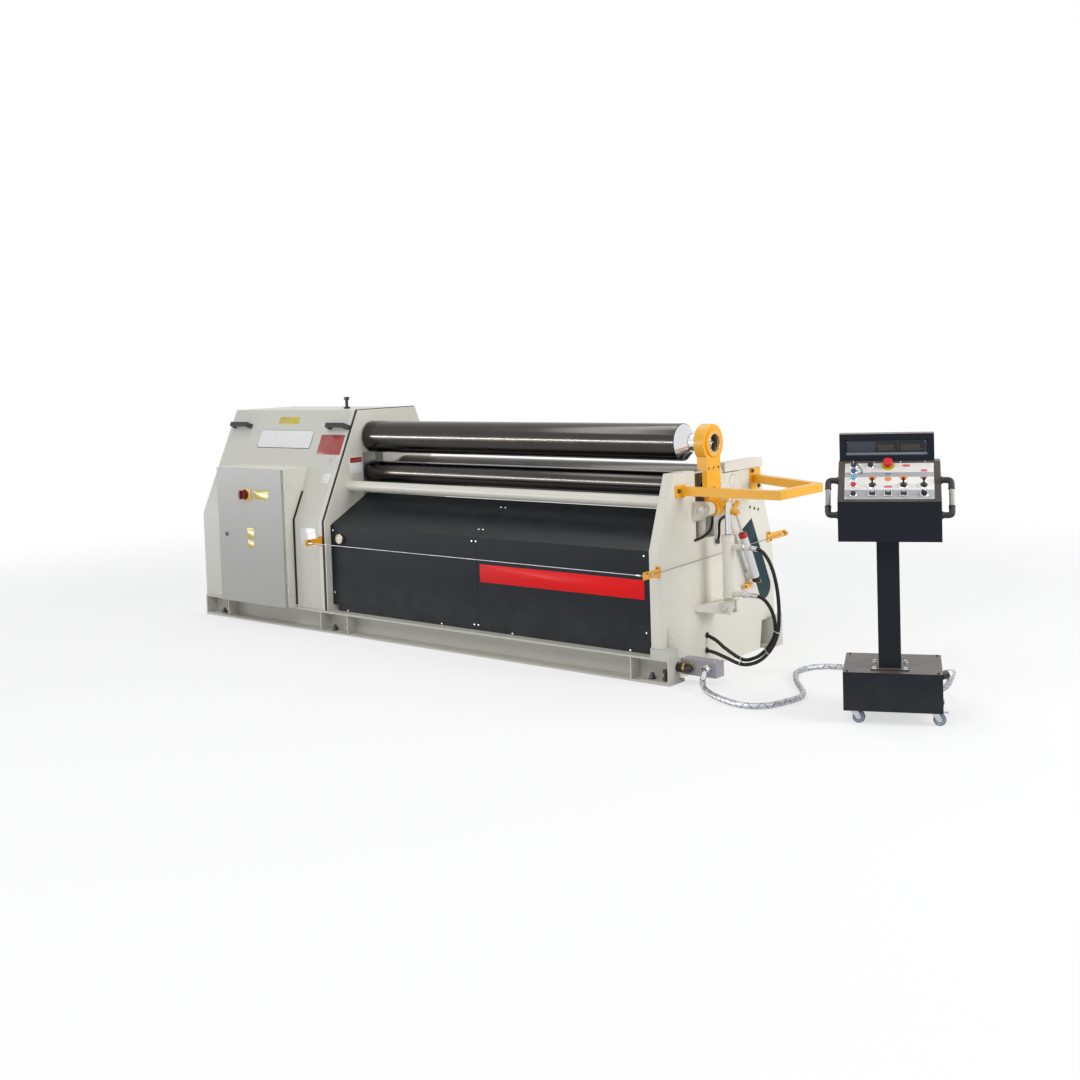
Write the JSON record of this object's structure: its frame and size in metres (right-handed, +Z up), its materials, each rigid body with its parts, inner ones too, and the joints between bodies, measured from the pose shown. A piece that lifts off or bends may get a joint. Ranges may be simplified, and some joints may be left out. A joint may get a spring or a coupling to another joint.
{
  "type": "plate rolling machine",
  "caption": "Three-roll hydraulic plate bending machine with a hinged drop end, wire guard and a mobile control desk on casters.",
  "frame": {"origin": "floor level, at the middle of the four corner anchor bolt holes", "axes": "+X along the rolls from the drive housing to the drop end, +Y to the rear, +Z up"},
  "size_m": [4.7126, 1.3215, 1.298],
  "materials": {
    "frame_paint": "satin",
    "housing_paint": "satin, light texture",
    "base_paint": "satin, dusty",
    "door_paint": "satin",
    "cover_paint": "satin",
    "safety_yellow": "gloss",
    "roll_steel": "ground, light oil",
    "machined_steel": "machined",
    "black_steel": "blackened",
    "cylinder_paint": "satin teal",
    "chrome_rod": "polished",
    "seal_rubber": "matt",
    "black_plastic": "satin",
    "switch_red": "gloss",
    "gauge_metal": "satin",
    "wire_steel": "drawn",
    "sensor_aluminium": "anodised",
    "hose_rubber": "satin",
    "box_paint": "satin",
    "conduit_braid": "braided",
    "desk_paint": "satin, fine texture",
    "stop_red": "gloss",
    "caster_steel": "zinc plated",
    "caster_tread": "grey-blue"
  },
  "bodies": {
    "machine": {"base_rails": "base_paint", "base_cross_members": "base_paint", "levelling_bolts": "black_steel", "drive_side_frame": "frame_paint", "drop_side_frame": "frame_paint", "slot_cap": "frame_paint", "tie_bars": "frame_paint", "drive_housing": "housing_paint", "housing_seals": "seal_rubber", "housing_fittings": "black_plastic", "electric_cabinet": "frame_paint", "covers": "cover_paint", "pressure_gauge": "gauge_metal", "roll_cylinders": "cylinder_paint", "drop_end_brackets": "frame_paint", "drop_cylinder": "frame_paint", "guard_bar": "safety_yellow", "trip_arms": "safety_yellow", "trip_wire": "wire_steel", "position_sensor": "sensor_aluminium", "hydraulic_hose_upper": "hose_rubber", "hydraulic_hose_lower": "hose_rubber", "junction_box": "box_paint", "armoured_conduit": "conduit_braid", "desk_foot": "desk_paint", "desk_column": "desk_paint", "desk_console": "desk_paint", "desk_handles": "black_plastic"},
    "top_roll": {"top_roll": "roll_steel"},
    "lower_roll_carriage": {"pinch_roll_blocks": "machined_steel"},
    "lower_roll": {"pinch_roll": "roll_steel"},
    "rear_roll_carriage": {"rear_roll_blocks": "frame_paint", "sensor_pickup": "safety_yellow"},
    "rear_roll": {"rear_roll": "roll_steel"},
    "drop_end": {"drop_end": "safety_yellow"},
    "drop_rod": {"drop_rod": "chrome_rod"},
    "cabinet_door": {"cabinet_door": "door_paint"},
    "main_switch": {"main_switch": "switch_red"},
    "stop_button": {"stop_button": "stop_red"},
    "caster_1": {"caster_fork_1": "caster_steel"},
    "wheel_1": {"caster_wheel_1": "caster_tread"},
    "caster_2": {"caster_fork_2": "caster_steel"},
    "wheel_2": {"caster_wheel_2": "caster_tread"},
    "caster_3": {"caster_fork_3": "caster_steel"},
    "wheel_3": {"caster_wheel_3": "caster_tread"},
    "caster_4": {"caster_fork_4": "caster_steel"},
    "wheel_4": {"caster_wheel_4": "caster_tread"}
  },
  "joints": [
    {"name": "top_roll_spin", "type": "hinge", "parent": "machine", "child": "top_roll", "pos_m": [0, -0.115, 1.072], "axis": [1, 0, 0], "continuous": true},
    {"name": "lower_roll_lift", "type": "slide", "parent": "machine", "child": "lower_roll_carriage", "axis": [0, 0, 1], "range_m": [0, 0.045]},
    {"name": "lower_roll_spin", "type": "hinge", "parent": "lower_roll_carriage", "child": "lower_roll", "pos_m": [0, -0.115, 0.867], "axis": [1, 0, 0], "continuous": true},
    {"name": "rear_roll_lift", "type": "slide", "parent": "machine", "child": "rear_roll_carriage", "axis": [0, -0.4462, 0.8949], "range_m": [-0.1, 0]},
    {"name": "rear_roll_spin", "type": "hinge", "parent": "rear_roll_carriage", "child": "rear_roll", "pos_m": [0, 0.14333, 0.87], "axis": [1, 0, 0], "continuous": true},
    {"name": "drop_end_hinge", "type": "hinge", "parent": "machine", "child": "drop_end", "pos_m": [1.707, -0.115, 0.769], "axis": [0, 1, 0], "range_deg": [0, 75]},
    {"name": "drop_rod_stroke", "type": "slide", "parent": "machine", "child": "drop_rod", "axis": [0, 0, -1], "range_m": [0, 0.0909]},
    {"name": "cabinet_door_hinge", "type": "hinge", "parent": "machine", "child": "cabinet_door", "pos_m": [-0.861, -0.56, 0.5], "axis": [0, 0, 1], "range_deg": [0, 110]},
    {"name": "main_switch_turn", "type": "hinge", "parent": "cabinet_door", "child": "main_switch", "pos_m": [-1.19, -0.578, 0.758], "axis": [0, 1, 0], "range_deg": [0, 90]},
    {"name": "stop_button_press", "type": "slide", "parent": "machine", "child": "stop_button", "axis": [-0.2629, 0.5905, -0.763], "range_m": [0, 0.005]},
    {"name": "caster_1_swivel", "type": "hinge", "parent": "machine", "child": "caster_1", "pos_m": [2.62632, -0.59768, 0.057], "axis": [0, 0, 1], "continuous": true},
    {"name": "caster_1_roll", "type": "hinge", "parent": "caster_1", "child": "wheel_1", "pos_m": [2.64642, -0.58873, 0.025], "axis": [-0.4067, 0.9135, 0], "continuous": true},
    {"name": "caster_2_swivel", "type": "hinge", "parent": "machine", "child": "caster_2", "pos_m": [2.90952, -0.47159, 0.057], "axis": [0, 0, 1], "continuous": true},
    {"name": "caster_2_roll", "type": "hinge", "parent": "caster_2", "child": "wheel_2", "pos_m": [2.92961, -0.46264, 0.025], "axis": [-0.4067, 0.9135, 0], "continuous": true},
    {"name": "caster_3_swivel", "type": "hinge", "parent": "machine", "child": "caster_3", "pos_m": [2.51813, -0.35467, 0.057], "axis": [0, 0, 1], "continuous": true},
    {"name": "caster_3_roll", "type": "hinge", "parent": "caster_3", "child": "wheel_3", "pos_m": [2.53822, -0.34572, 0.025], "axis": [-0.4067, 0.9135, 0], "continuous": true},
    {"name": "caster_4_swivel", "type": "hinge", "parent": "machine", "child": "caster_4", "pos_m": [2.80132, -0.22858, 0.057], "axis": [0, 0, 1], "continuous": true},
    {"name": "caster_4_roll", "type": "hinge", "parent": "caster_4", "child": "wheel_4", "pos_m": [2.82142, -0.21964, 0.025], "axis": [-0.4067, 0.9135, 0], "continuous": true}
  ],
  "couplings": [
    {"joint": "drop_rod_stroke", "follows": "drop_end_hinge", "m_per_rad": 0.06933}
  ]
}
